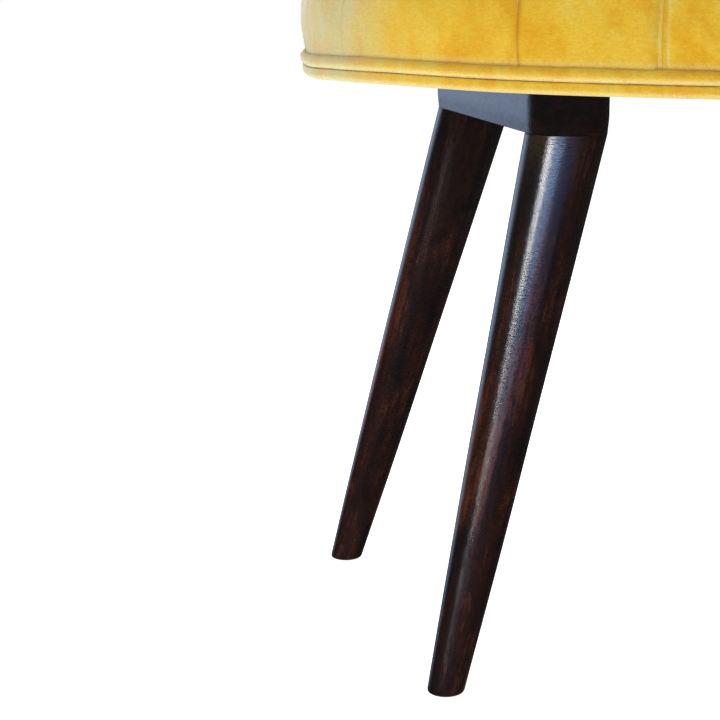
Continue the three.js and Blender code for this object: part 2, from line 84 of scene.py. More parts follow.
# The rolled rim and the back, as in the design.
RIM_WIDEST_Z = BAND_LOW.z + 33 * MM
RIM_ROLL_WIDTH = 70 * MM
RIM_UNDERCUT_RADIUS = 60 * MM
BACK_START = math.radians(-12)
BACK_END = math.pi - BACK_START
BACK_TOP_ENDS = BACK_TOP_CENTRE - 185 * MM
BACK_FACE = ((0.12, 136 * MM), (0.3, 138 * MM), (0.5, 130 * MM))  # share of the height, inset
ROLL_CENTRE_INSET = 86 * MM
ROLL_CENTRE_DROP = 33 * MM
ROLL_HALF_WIDTH, ROLL_HEIGHT = 34 * MM, 31 * MM
CHANNELS = 20
CHANNEL_DEPTH = 7.5 * MM
BACK_END_RADIUS = 30 * MM
BACK_PIPING_INSET = 47.3 * MM
BACK_PIPING_DROP = 16 * MM
BACK_PIPING_RADIUS = 4.1 * MM
BACK_PIPING_CORNER = 22 * MM

# The legs: how far the bar above them stands out past a leg's top, and how far their sides swell.
BLOCK_LEDGE = 0.9 * MM
LEG_BELLY = 0.7 * MM

# Places of the folds, as arc lengths along the widest line of the rim from the left end.
FOLDS_BY_THE_END = (62 * MM, 207 * MM, 293 * MM)
FOLDS_ALONG_THE_FRONT = 12
BUTTONS = [sum(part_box(f"seat_button_{i}"), Vector()) / 2 for i in range(1, 10)]

# The cloth work: how many frames it runs, and how far it may move a point of the seat and of the back.
CLOTH_FRAMES = 20
SEAT_SWELL_LIMIT = 6 * MM
BACK_SWELL_LIMIT = 4 * MM

# Thread: the length of a stitch with its gap, and half the length and thickness that shows.
STITCH_PITCH = 4.6 * MM
STITCH_REACH = 1.35 * MM
STITCH_RADIUS = 0.28 * MM


# ---- Mesh and material helpers ----

def make_object(name, points, faces, material, replaced=()):
    """A mesh piece that rides on the sofa and takes the place of CAD solids."""
    mesh = bpy.data.meshes.new(name)
    mesh.from_pydata(np.reshape(points, (-1, 3)).tolist(), [], [tuple(f) for f in faces])
    mesh.update()
    mesh.polygons.foreach_set("use_smooth", [True] * len(mesh.polygons))
    obj = bpy.data.objects.new(name, mesh)
    bpy.context.scene.collection.objects.link(obj)
    mesh.materials.append(material)
    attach(obj, ROOT)
    if replaced:
        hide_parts(*replaced)
    return obj


def grid_faces(rows, columns, rows_close=False, columns_close=False):
    """Quads between the points of a grid that was flattened row by row."""
    row = np.arange(rows if rows_close else rows - 1)
    column = np.arange(columns if columns_close else columns - 1)
    r, c = np.meshgrid(row, column, indexing="ij")
    r_next, c_next = (r + 1) % rows, (c + 1) % columns
    corners = [r * columns + c, r_next * columns + c, r_next * columns + c_next, r * columns + c_next]
    return np.stack(corners, -1).reshape(-1, 4)


def capped_faces(rows, columns, flip=False):
    """The faces of a grid that closes round its columns, with one face over each end."""
    start = list(range(columns))
    end = [(rows - 1) * columns + k for k in start]
    caps = [start[::-1], end] if flip else [start, end[::-1]]
    return grid_faces(rows, columns, columns_close=True).tolist() + caps


def weld(obj, distance=0.02 * MM):
    """Joins points that coincide and turns all faces outward."""
    bm = bmesh.new()
    bm.from_mesh(obj.data)
    bmesh.ops.remove_doubles(bm, verts=bm.verts, dist=distance)
    bmesh.ops.dissolve_degenerate(bm, edges=bm.edges, dist=1e-7)
    bmesh.ops.recalc_face_normals(bm, faces=bm.faces)
    bm.to_mesh(obj.data)
    bm.free()


def moved_into(place, points):
    """Points of the scene in the own coordinates of an object that stands at place."""
    inverse = np.array(place.inverted())
    return points.reshape(-1, 3) @ inverse[:3, :3].T + inverse[:3, 3]


def oval(theta, inset, z):
    """Points of the oval at angles, moved inward; the three arguments share one shape."""
    theta, inset, z = np.broadcast_arrays(theta, inset, z)
    normal_x, normal_y = HALF_DEPTH * np.cos(theta), HALF_LENGTH * np.sin(theta)
    length = np.hypot(normal_x, normal_y)
    x = HALF_LENGTH * np.cos(theta) - inset * normal_x / length
    y = HALF_DEPTH * np.sin(theta) - inset * normal_y / length
    return np.stack([x, y, z], -1)


FINE_THETA = np.linspace(0, 2 * np.pi, 7201)
FINE_STEPS = np.linalg.norm(np.diff(oval(FINE_THETA, 0.0, 0.0), axis=0), axis=1)
FINE_ARC = np.concatenate([[0], np.cumsum(FINE_STEPS)])
PERIMETER = FINE_ARC[-1]
HALF_ROUND = PERIMETER / 2


def arc_of(theta):
    """Arc length of an angle, counted from the right end."""
    return np.interp(theta, FINE_THETA, FINE_ARC)


def theta_of(arc):
    return np.interp(arc, FINE_ARC, FINE_THETA)


def even_thetas(step):
    """Angles round the whole oval that are about a step apart along it."""
    count = int(PERIMETER / step)
    return theta_of(np.arange(count) * PERIMETER / count)


def smoothstep(value, low, high):
    t = np.clip((value - low) / (high - low), 0, 1)
    return t * t * (3 - 2 * t)


def bell(value, width):
    return np.exp(-(value / width) ** 2)


def spline(a, b, c, d, t):
    """The smooth curve from b to c, with a before them and d after them."""
    square, cube = 2 * a - 5 * b + 4 * c - d, 3 * b - a - 3 * c + d
    return 0.5 * (2 * b + (c - a) * t + square * t ** 2 + cube * t ** 3)


def roughness_of(points, scale, seed):
    """Smooth noise from -1 to 1 at each point."""
    shift = Vector((seed * 7.3, seed * 3.1, seed * 5.7))
    values = [noise.noise(Vector(p) * scale + shift) for p in points.reshape(-1, 3)]
    return np.array(values).reshape(points.shape[:-1])


def lumps_along(line, scale, shift=(0, 0, 0)):
    return np.array([noise.noise(Vector(p) * scale + Vector(shift)) for p in line])


def normals_of(points, rows_close):
    """Unit normals of a grid of points, pointing away from the first axis turned to the second."""
    wrap = "wrap" if rows_close else "edge"
    padded = np.pad(points, ((1, 1), (0, 0), (0, 0)), mode=wrap)
    along = padded[2:] - padded[:-2]
    padded = np.pad(points, ((0, 0), (1, 1), (0, 0)), mode="edge")
    across = padded[:, 2:] - padded[:, :-2]
    normal = np.cross(along, across)
    return normal / np.maximum(np.linalg.norm(normal, axis=-1, keepdims=True), 1e-12)


# ---- Node materials ----

class Nodes:
    """A short way to write a node tree."""

    def __init__(self, tree, space):
        self.tree = tree
        self.coords = self.new("TexCoord").outputs[space]

    def new(self, kind, **values):
        """A new node, with fixed values on the inputs that are named."""
        node = self.tree.nodes.new("ShaderNode" + kind)
        for key, value in values.items():
            node.inputs[key.replace("_", " ")].default_value = value
        return node

    def link(self, source, target):
        self.tree.links.new(source, target)

    def feed(self, target, value):
        """Links an input to another node's output, or sets it to a fixed value."""
        if isinstance(value, bpy.types.NodeSocket):
            self.link(value, target)
        else:
            target.default_value = (*value, 1) if target.type == "RGBA" else value

    def stretched(self, scale, turn=(0, 0, 0)):
        node = self.new("Mapping", Scale=scale, Rotation=turn)
        self.link(self.coords, node.inputs["Vector"])
        return node.outputs["Vector"]

    def noise(self, scale, detail=3.0, rough=0.5, distortion=0.0, vector=None):
        node = self.new("TexNoise", Scale=scale, Detail=detail, Roughness=rough, Distortion=distortion)
        self.link(vector or self.coords, node.inputs["Vector"])
        return node.outputs["Fac"]

    def fibres(self, scale, detail, rough, distortion=0.0):
        """Noise that is stretched by a scale for each axis."""
        return self.noise(1.0, detail, rough, distortion, self.stretched(scale))

    def ramp(self, source, stops):
        node = self.new("ValToRGB")
        elements = node.color_ramp.elements
        while len(elements) < len(stops):
            elements.new(0.5)
        for element, (place, colour) in zip(elements, stops):
            element.position = place
            element.color = (*colour, 1)
        self.link(source, node.inputs["Fac"])
        return node.outputs["Color"]

    def grey(self, source, low, high, at=(0.0, 1.0)):
        """The source stretched so that the two values of at become low and high."""
        node = self.new("MapRange", From_Min=at[0], From_Max=at[1], To_Min=low, To_Max=high)
        self.link(source, node.inputs["Value"])
        return node.outputs["Result"]

    def mix(self, factor, first, second, blend="MIX"):
        node = self.new("Mix")
        node.data_type = "RGBA"
        node.blend_type = blend
        for index, value in ((0, factor), (6, first), (7, second)):
            self.feed(node.inputs[index], value)
        return node.outputs[2]

    def math(self, operation, first, second):
        node = self.new("Math")
        node.operation = operation
        self.feed(node.inputs[0], first)
        self.feed(node.inputs[1], second)
        return node.outputs[0]

    def blend(self, first, share, second):
        """The first value times its share, and the second value times the rest."""
        return self.math("ADD", self.math("MULTIPLY", first, share), self.math("MULTIPLY", second, 1 - share))

    def axis(self, index):
        node = self.new("SeparateXYZ")
        self.link(self.coords, node.inputs[0])
        return node.outputs[index]


class Look(Nodes):
    """A material and the node tree round its Principled shader."""

    def __init__(self, name, **principled):
        self.material = bpy.data.materials.new(name)
        self.material.use_nodes = True
        super().__init__(self.material.node_tree, "Object")
        self.shader = self.tree.nodes["Principled BSDF"]
        for key, value in principled.items():
            self.shader.inputs[key.replace("_", " ")].default_value = value

    def attribute(self, name):
        node = self.new("Attribute")
        node.attribute_name = name
        return node.outputs["Fac"]

    def colour(self, source):
        self.link(source, self.shader.inputs["Base Color"])

    def roughness(self, source):
        self.link(source, self.shader.inputs["Roughness"])

    def bump(self, *layers):
        """Height layers of (source, depth in metres), one over the other."""
        last = None
        for source, depth in layers:
            node = self.new("Bump", Strength=1.0, Distance=depth)
            self.link(source, node.inputs["Height"])
            if last is not None:
                self.link(last, node.inputs["Normal"])
            last = node.outputs["Normal"]
        self.link(last, self.shader.inputs["Normal"])
        return last


def velvet(name, deep, main, light, highlight_colour):
    """Cotton velvet: brushed patches of nap, fine pile and a warp that just shows, with painted shade in its
    creases, painted highlights on edges and ridges, and painted sheen near the ends.
    """
    m = Look(name, Roughness=0.85, Sheen_Weight=0.6, Sheen_Roughness=0.4, Specular_IOR_Level=0.12)
    m.shader.inputs["Sheen Tint"].default_value = (1.0, 0.96, 0.82, 1)
    patches = m.noise(13.0, 5.0, 0.6, 1.8)
    strokes = m.noise(34.0, 5.0, 0.62, 0.9, m.stretched((1.0, 1.0, 0.45), (0.5, 0.6, 0.9)))
    brushed = m.blend(patches, 0.55, strokes)
    nap = m.ramp(brushed, [(0.40, deep), (0.50, main), (0.62, light)])
    # Painted sheen: near the two ends the nap colour is mixed towards a pale, greyish yellow.
    turned = m.math("MULTIPLY", m.attribute("pale"), m.grey(brushed, 0.6, 1.15, (0.40, 0.56)))
    nap = m.mix(m.math("MINIMUM", turned, 1.0), nap, (0.50, 0.425, 0.17))
    warp = m.fibres((240.0, 240.0, 900.0), 2.0, 0.6)
    pile = m.noise(950.0, 3.0, 0.75)
    fine = m.ramp(m.blend(warp, 0.4, pile), [(0.34, (0.72, 0.66, 0.5)), (0.66, (1.22, 1.24, 1.4))])
    speckled = m.mix(0.5, nap, fine, "MULTIPLY")
    # Painted highlight: a pale colour mixed in on rounded edges, ridges, the hem and the tops of buttons.
    rub = m.math("MULTIPLY", m.attribute("rub"), m.grey(pile, 0.4, 1.0, (0.38, 0.62)))
    rubbed = m.mix(rub, speckled, highlight_colour)
    # Painted shade: creases, seams and the bases of buttons are darkened towards a deep ochre.
    crease_shade_colour = (deep[0] * 0.62, deep[1] * 0.42, deep[2] * 0.3)
    m.colour(m.mix(m.attribute("fold"), rubbed, crease_shade_colour))
    m.bump((patches, 1.6 * MM), (strokes, 0.7 * MM), (warp, 0.07 * MM), (pile, 0.14 * MM))
    return m.material


def lacquered_wood(name):
    """Dark walnut stain under a gloss lacquer, with reddish streaks towards the foot that are painted light
    from the floor, and a darker foot.
    """
    m = Look(name, Roughness=0.4, Specular_IOR_Level=0.2, Coat_Weight=1.0, Coat_Roughness=0.09)
    m.shader.inputs["Coat IOR"].default_value = 1.85
    streaks = m.fibres((150.0, 150.0, 11.0), 6.0, 0.66, 0.5)
    figure = m.fibres((26.0, 26.0, 9.0), 5.0, 0.62, 1.2)
    grain = m.blend(streaks, 0.4, figure)
    quiet = [(0.44, (0.005, 0.0035, 0.0035)), (0.55, (0.014, 0.005, 0.0035)), (0.66, (0.038, 0.011, 0.005))]
    lit_lower_grain = [(0.41, (0.006, 0.003, 0.003)), (0.51, (0.026, 0.006, 0.002)), (0.62, (0.10, 0.024, 0.007))]
    upper, lower = m.ramp(grain, quiet), m.ramp(grain, lit_lower_grain)
    # Painted light from the floor: the lower part of the leg takes the lighter, redder colours.
    grain_toned_by_height = m.mix(m.grey(m.axis(2), 1.0, 0.0, (-0.22, -0.06)), upper, lower)
    # Darker over the last stretch towards the foot.
    grain_toned_by_height = m.mix(m.grey(m.axis(2), 0.6, 0.0, (-0.36, -0.26)), grain_toned_by_height, (0.007, 0.004, 0.003))
    pores = m.fibres((1300.0, 1300.0, 170.0), 3.0, 0.7)
    pore_shade = m.ramp(pores, [(0.36, (0.3, 0.3, 0.3)), (0.5, (1.0, 1.0, 1.0))])
    sanding = m.fibres((260.0, 260.0, 1250.0), 5.0, 0.78, 0.3)
    ripple = m.ramp(sanding, [(0.38, (0.6, 0.6, 0.6)), (0.62, (1.5, 1.4, 1.3))])
    m.colour(m.mix(0.8, m.mix(0.8, grain_toned_by_height, pore_shade, "MULTIPLY"), ripple, "MULTIPLY"))
    m.roughness(m.grey(sanding, 0.25, 0.5, (0.3, 0.7)))
    specks = m.fibres((620.0, 620.0, 1700.0), 2.0, 0.6)
    relief = m.bump((streaks, 0.05 * MM), (sanding, 0.10 * MM), (specks, 0.12 * MM))
    m.link(relief, m.shader.inputs["Coat Normal"])
    return m.material


def grained(name, scale, detail, rough, dark, pale, depth, **principled):
    """A plain material whose colour and relief follow one noise, stretched by a scale for each axis."""
    m = Look(name, **principled)
    grain = m.fibres(scale, detail, rough)
    m.colour(m.ramp(grain, [(0.3, dark), (0.7, pale)]))
    m.bump((grain, depth))
    return m.material


def sawn_wood(name, dark, pale):
    m = Look(name, Roughness=0.65)
    grain = m.fibres((12.0, 60.0, 90.0), 6.0, 0.6, 0.8)
    m.colour(m.ramp(grain, [(0.35, dark), (0.65, pale)]))
    m.bump((grain, 0.2 * MM))
    return m.material


def plies(name):
    """Birch plywood: dark glue lines between pale veneers on its edge."""
    m = Look(name, Roughness=0.6)
    layers = m.fibres((2.0, 2.0, 620.0), 1.0, 0.4)
    grain = m.fibres((10.0, 90.0, 40.0), 5.0, 0.6, 0.6)
    veneer = m.ramp(grain, [(0.35, (0.42, 0.28, 0.15)), (0.65, (0.66, 0.5, 0.32))])
    m.colour(m.mix(m.grey(layers, 0.0, 0.6, (0.45, 0.6)), veneer, (0.25, 0.15, 0.08)))
    m.bump((grain, 0.1 * MM))
    return m.material


def woven(name, dark, pale, yarn):
    """A plain weave from two crossed waves, with uneven yarn."""
    m = Look(name, Roughness=0.9)
    waves = []
    for axis in ("X", "Y"):
        node = m.new("TexWave", Scale=1 / (yarn * 6.3), Distortion=0.6)
        node.bands_direction = axis
        m.link(m.coords, node.inputs["Vector"])
        waves.append(node.outputs["Fac"])
    weave = m.math("MAXIMUM", *waves)
    uneven = m.noise(140.0, 4.0, 0.6)
    m.colour(m.ramp(m.blend(weave, 0.6, uneven), [(0.3, dark), (0.75, pale)]))
    m.bump((weave, yarn * 0.35), (uneven, 0.1 * MM))
    return m.material


def plated_steel(name):
    m = Look(name, Metallic=1.0, Roughness=0.35)
    scratches = m.fibres((900.0, 900.0, 120.0), 4.0, 0.7)
    m.colour(m.ramp(scratches, [(0.3, (0.42, 0.42, 0.41)), (0.7, (0.62, 0.62, 0.6))]))
    m.roughness(m.grey(scratches, 0.25, 0.5))
    m.bump((scratches, 0.02 * MM))
    return m.material


VELVET = velvet("mustard_velvet", (0.58, 0.285, 0.008), (0.61, 0.355, 0.020), (0.60, 0.405, 0.048),
                (0.66, 0.57, 0.22))
# The piping's velvet is a slightly lighter copy of the same cloth: painted light on the piping.
PIPING_VELVET = velvet("piping_velvet", (0.59, 0.29, 0.008), (0.62, 0.36, 0.021), (0.60, 0.43, 0.065),
                       (0.66, 0.585, 0.24))
WOOD = lacquered_wood("walnut_lacquer")
THREAD = grained("seam_thread", (1800.0, 1800.0, 1800.0), 2.0, 0.5, (0.22, 0.10, 0.010), (0.42, 0.22, 0.03),
                 0.05 * MM, Roughness=0.7)
PLAIN_LOOKS = {
    "frame_wood": sawn_wood("sawn_beech", (0.42, 0.26, 0.13), (0.66, 0.46, 0.27)),
    "plywood": plies("birch_plywood"),
    "webbing": woven("jute_webbing", (0.2, 0.12, 0.05), (0.5, 0.37, 0.2), 2.2 * MM),
    "dust_cloth": woven("spun_dust_cloth", (0.006, 0.006, 0.007), (0.03, 0.03, 0.032), 1.0 * MM),
    "foam": grained("cut_foam", (700.0, 700.0, 700.0), 3.0, 0.7, (0.7, 0.62, 0.4), (0.9, 0.86, 0.7),
                    0.4 * MM, Roughness=0.95),
    "fastener": plated_steel("zinc_plated_steel"),
    "glide": grained("black_nylon", (900.0, 900.0, 900.0), 3.0, 0.6, (0.012,) * 3, (0.03,) * 3,
                     0.03 * MM, Roughness=0.5),
    "leg_wood": WOOD,
    "seat_velvet": VELVET,
    "back_velvet": VELVET,
    "button_velvet": VELVET,
    "piping_velvet": PIPING_VELVET,
}


def dress_the_frame():
    """Gives each CAD solid the material of its slot."""
    slots = {part["node"]: part["material_slot"] for part in frame["record"]["subparts"]}
    for name, obj in frame["nodes"].items():
        obj.data.materials.clear()
        obj.data.materials.append(PLAIN_LOOKS[slots[name]])


def shade(obj, **layers):
    """Stores values from 0 to 1 on the piece's points for its material: painted crease shade, painted
    highlight and painted sheen near the ends.
    """
    for name in ("fold", "rub", "pale"):
        values = np.clip(layers.get(name, np.zeros(len(obj.data.vertices))), 0, 1).reshape(-1)
        attribute = obj.data.attributes.new(name, "FLOAT", "POINT")
        attribute.data.foreach_set("value", values.astype(np.float32))


# ---- Cloth ----

def resampled(values, at, wrap):
    """A smooth curve through rows of values, read at fractional row numbers."""
    whole = np.floor(at).astype(int)
    t = (at - whole).reshape(-1, *[1] * (values.ndim - 1))
    count = len(values)

    def row(step):
        return values[(whole + step) % count if wrap else np.clip(whole + step, 0, count - 1)]

    return spline(row(-1), row(0), row(1), row(2), t)


def resampled_grid(values, rows, columns, wrap):
    """A grid of vectors read at fractional row and column numbers; its rows may close on themselves."""
    by_row = resampled(values, rows, wrap)
    return resampled(by_row.transpose(1, 0, 2), columns, False).transpose(1, 0, 2)


def swelling(points, held, closed, flip, pressure, limit):
    """How far a grid of stuffed cloth moves when it swells between the points that are held.

    The last column of a closed grid is a seam that its two sides share.
    """
    rows, columns = points.shape[:2]
    number = np.arange(rows * columns).reshape(rows, columns)
    if closed:
        mirrored = (-np.arange(rows)) % rows
        number[:, -1] = np.minimum(number[:, -1], number[mirrored, -1])
    faces = number.reshape(-1)[grid_faces(rows, columns, rows_close=closed)]
    mesh = bpy.data.meshes.new("cloth_source")
    mesh.from_pydata(points.reshape(-1, 3).tolist(), [], (faces[:, ::-1] if flip else faces).tolist())
    mesh.update()
    obj = bpy.data.objects.new("cloth_source", mesh)
    scene = bpy.context.scene
    scene.collection.objects.link(obj)
    group = obj.vertex_groups.new(name="held")
    group.add(np.flatnonzero(held.reshape(-1)).tolist(), 1.0, "REPLACE")
    cloth = obj.modifiers.new("cloth", "CLOTH")
    settings = cloth.settings
    settings.quality = 5
    settings.mass = 0.25
    settings.tension_stiffness = 14
    settings.compression_stiffness = 14
    settings.shear_stiffness = 6
    settings.bending_stiffness = 0.4
    settings.air_damping = 6
    settings.shrink_min = -0.035
    settings.use_pressure = True
    settings.uniform_pressure_force = pressure
    settings.vertex_group_mass = "held"
    settings.effector_weights.gravity = 0
    cloth.point_cache.frame_start = 1
    cloth.point_cache.frame_end = CLOTH_FRAMES
    for step in range(1, CLOTH_FRAMES + 1):
        scene.frame_set(step)
    evaluated = obj.evaluated_get(bpy.context.evaluated_depsgraph_get())
    moved = np.empty(rows * columns * 3)
    evaluated.data.vertices.foreach_get("co", moved)
    bpy.data.objects.remove(obj)
    scene.frame_set(1)
    shift = moved.reshape(-1, 3)[number.reshape(-1)] - points.reshape(-1, 3)[number.reshape(-1)]
    length = np.linalg.norm(shift, axis=1, keepdims=True)
    shift = shift * np.minimum(1, limit / np.maximum(length, 1e-9))
    return shift.reshape(rows, columns, 3)


def between(marks, step):
    """Places along a line that pass through every mark, about a step apart."""
    pieces = []
    for start, end in zip(marks[:-1], marks[1:]):
        pieces.append(np.linspace(start, end, max(2, round((end - start) / step)), endpoint=False))
    return np.concatenate(pieces)


# ---- Seat ----

def edge_wave(arc_from_end):
    """How far the hand-laid bottom edge wanders up and down, in the same way at both ends."""
    lift = 0.9 * MM * bell(arc_from_end - 115 * MM, 60 * MM)
    drop = 1.0 * MM * bell(arc_from_end, 32 * MM)
    return lift - drop


def from_nearest_end(theta):
    arc = arc_of(np.mod(theta, 2 * np.pi)) % HALF_ROUND
    return np.minimum(arc, HALF_ROUND - arc)


def painted_end_sheen(thetas):
    """How much pale sheen is painted on near the two ends."""
    return 1 - smoothstep(from_nearest_end(thetas), 45 * MM, 125 * MM)


def fold_arcs():
    """Arc lengths of all folds from the right end round to the left end, for one side."""
    ends = list(FOLDS_BY_THE_END)
    middle = np.linspace(ends[-1], HALF_ROUND - ends[-1], FOLDS_ALONG_THE_FRONT + 1)
    return np.array(ends[:-1] + list(middle) + [HALF_ROUND - a for a in reversed(ends[:-1])])


REAR_FOLDS = fold_arcs()
ALL_FOLDS = np.concatenate([REAR_FOLDS, PERIMETER - REAR_FOLDS[::-1]])


def rim_thetas():
    """Angles round the rim, close together at each fold and the same on both sides of the sofa's length."""
    near = np.array([0, 0.6, 1.2, 2.0, 3.2, 5, 8, 12]) * MM
    spots = [REAR_FOLDS + side * step for step in near for side in (-1, 1)]
    even = np.arange(0, HALF_ROUND, 6 * MM)
    arcs = np.unique(np.round(np.concatenate([*spots, even, [HALF_ROUND]]), 5))
    arcs = arcs[np.concatenate([[True], np.diff(arcs) > 0.35 * MM])]
    arcs[-1] = HALF_ROUND
    rear = theta_of(arcs)
    return np.concatenate([rear, 2 * np.pi - rear[-2:0:-1]])


def rim_section():
    """Inset and height from the hem up the rolled rim to where the flat of the seat begins."""
    low = np.linspace(HEM_Z - 1.8 * MM, RIM_WIDEST_Z, 7)[:-1]
    undercut = RIM_UNDERCUT_RADIUS - np.sqrt(RIM_UNDERCUT_RADIUS ** 2 - (RIM_WIDEST_Z - low) ** 2)
    turn = np.linspace(0, np.pi / 2, 20)
    inset = np.concatenate([undercut, RIM_ROLL_WIDTH * (1 - np.cos(turn))])
    height = np.concatenate([low, RIM_WIDEST_Z + (SEAT_TOP - RIM_WIDEST_Z) * np.sin(turn)])
    return inset, height


def distance_to_segment(x, y, start, end):
    dx, dy = end[0] - start[0], end[1] - start[1]
    share = np.clip(((x - start[0]) * dx + (y - start[1]) * dy) / (dx * dx + dy * dy), 0, 1)
    return np.hypot(x - start[0] - share * dx, y - start[1] - share * dy)


def tuft_lines():
    """Pleats of the seat top: diamonds between the buttons, and one from each rim fold to a button."""
    spots = [(b.x, b.y) for b in BUTTONS]
    pitch = abs(spots[1][0] - spots[0][0])
    row_gap = abs(spots[0][1] - spots[-1][1])
    reach = 1.15 * math.hypot(pitch / 2, row_gap)
    lines = []
    for i, a in enumerate(spots):
        for b in spots[i + 1:]:
            if abs(a[1] - b[1]) > row_gap / 2 and math.dist(a, b) < reach:
                lines.append((a, b))
    for point in oval(theta_of(ALL_FOLDS), RIM_ROLL_WIDTH, 0.0):
        nearest = min(spots, key=lambda s: math.dist(s, point[:2]) + 0.35 * abs(s[0] - point[0]))
        lines.append((nearest, (point[0], point[1])))
    return lines


def seat_points(thetas):
    """The seat's surface before cloth work, with its painted crease shade, painted highlight and painted end
    sheen at each point.
    """
    rim_inset, rim_height = rim_section()
    rows, rim_columns = len(thetas), len(rim_inset)
    theta = thetas[:, None]
    rim = oval(theta, rim_inset[None, :], rim_height[None, :])
    rise = np.clip((rim_height - HEM_Z) / (SEAT_TOP - HEM_Z), 0, 1)[None, :]
    rim[..., 2] += (edge_wave(from_nearest_end(thetas))[:, None]) * (1 - smoothstep(rise, 0.0, 0.35))

    signed = arc_of(thetas)[:, None] - ALL_FOLDS[None, :]
    signed = (signed + PERIMETER / 2) % PERIMETER - PERIMETER / 2
    nearest = np.abs(signed).argmin(1)
    offset = signed[np.arange(rows), nearest][:, None]
    gap = np.abs(offset)
    vary = np.array([0.75 + 0.5 * noise.noise(Vector((k * 1.7, 0.3, 0.9))) for k in range(len(ALL_FOLDS))])
    vary = vary[nearest][:, None]
    place = arc_of(theta_of(ALL_FOLDS)) % HALF_ROUND
    by_end = np.minimum(place, HALF_ROUND - place)
    strength = np.where(by_end < FOLDS_BY_THE_END[0] + MM, 0.3, 1.0)
    every_third = (np.arange(len(ALL_FOLDS)) % 3 == 1) * 0.7
    lap = np.where(np.abs(by_end - FOLDS_BY_THE_END[2]) < MM, 1.0, every_third)
    folded, strength = lap[nearest][:, None], strength[nearest][:, None]
    away = offset * np.where(place < HALF_ROUND / 2, 1, -1)[nearest][:, None]
    low_on_rim = 1 - smoothstep(rise, 0.35, 0.75)
    depth = (0.8 + 8.5 * smoothstep(rise, 0.3, 1.0)) * MM * (0.6 + 0.6 * vary) * strength
    width = (0.75 + 7.0 * smoothstep(rise, 0.35, 1.0)) * MM
    crease = np.exp(-gap / width)
    puff = 4.5 * MM * smoothstep(rise, 0.35, 1.0) * (1 - bell(gap, 22 * MM))
    ridges = 1.1 * bell(away + 1.9 * MM, 1.5 * MM) + 0.7 * bell(away - 2.8 * MM, 0.9 * MM)
    lapped = folded * (ridges - 0.9 * bell(away + 8 * MM, 4 * MM)) * MM * low_on_rim
    push = puff + lapped - depth * crease * (1 - 0.5 * folded * low_on_rim)
    push += 0.5 * MM * roughness_of(rim, 22.0, 1) * smoothstep(rise, 0.05, 0.3)
    rim += push[..., None] * -normals_of(rim, True)
    # Painted shade along each fold's crease and in the hollow beside a lapped fold.
    line = np.exp(-gap / (0.6 * MM + 2 * MM * rise)) * (0.55 + 0.25 * vary) * strength
    hollow = 0.13 * bell(away + 7.5 * MM, 4 * MM)
    rim_crease_shade = line * (1 - 0.4 * folded * low_on_rim) + hollow * folded * low_on_rim
    # Painted highlight on a lapped fold's ridges, and along the hem to lighten the crevice above the piping.
    rim_rub = 0.35 * bell(away + 1.7 * MM, 0.9 * MM) + 0.35 * bell(away - 3.0 * MM, 0.8 * MM)
    rim_rub = rim_rub * folded * low_on_rim
    rim_rub = rim_rub + 0.5 * bell(rim_height[None, :] - HEM_Z - 0.5 * MM, 1.4 * MM)

    share = np.linspace(0, 1, 40)[1:] ** 0.92
    edge = oval(theta, RIM_ROLL_WIDTH, SEAT_TOP)
    spine = np.stack([0.62 * HALF_LENGTH * np.cos(thetas), 0 * thetas], -1)[:, None, :]
    plan = edge[..., :2] * (1 - share[None, :, None]) + spine * share[None, :, None]
    x, y = plan[..., 0], plan[..., 1]
    gap = np.min([distance_to_segment(x, y, *line) for line in tuft_lines()], axis=0)
    button = np.min([np.hypot(x - b.x, y - b.y) for b in BUTTONS], axis=0)
    height = SEAT_TOP + 6 * MM * smoothstep(np.broadcast_to(share[None, :], x.shape), 0.0, 0.5)
    height = height + 5.5 * MM * (1 - bell(gap, 30 * MM)) - 8.5 * MM * np.exp(-gap / (8 * MM))
    height = height - 17 * MM * np.exp(-(button / (26 * MM)) ** 1.3)
    top = np.concatenate([plan, height[..., None]], -1)
    top[..., 2] += 1.0 * MM * roughness_of(top, 18.0, 2)
    # Painted shade along the pleats of the seat top and round its buttons.
    top_crease_shade = 0.55 * np.exp(-gap / (3.5 * MM)) + 0.5 * bell(button, 12 * MM)

    floor = oval(theta, np.array([[22 * MM]]), HEM_Z - 1.8 * MM)
    middle = np.concatenate([spine, np.full((rows, 1, 1), HEM_Z - 1.8 * MM)], -1)
    points = np.concatenate([middle, floor, rim, top], 1)
    # Painted sheen near the two ends, fading towards the top of the rim.
    rim_painted_sheen = painted_end_sheen(thetas)[:, None] * (1 - 0.8 * smoothstep(rise, 0.6, 1))
    blank = np.zeros((rows, 2))
    fold = np.concatenate([blank, rim_crease_shade, top_crease_shade], 1)
    rub = np.concatenate([blank, rim_rub, 0 * top_crease_shade], 1)
    pale = np.concatenate([blank, rim_painted_sheen, 0 * top_crease_shade], 1)
    return points, fold, rub, pale


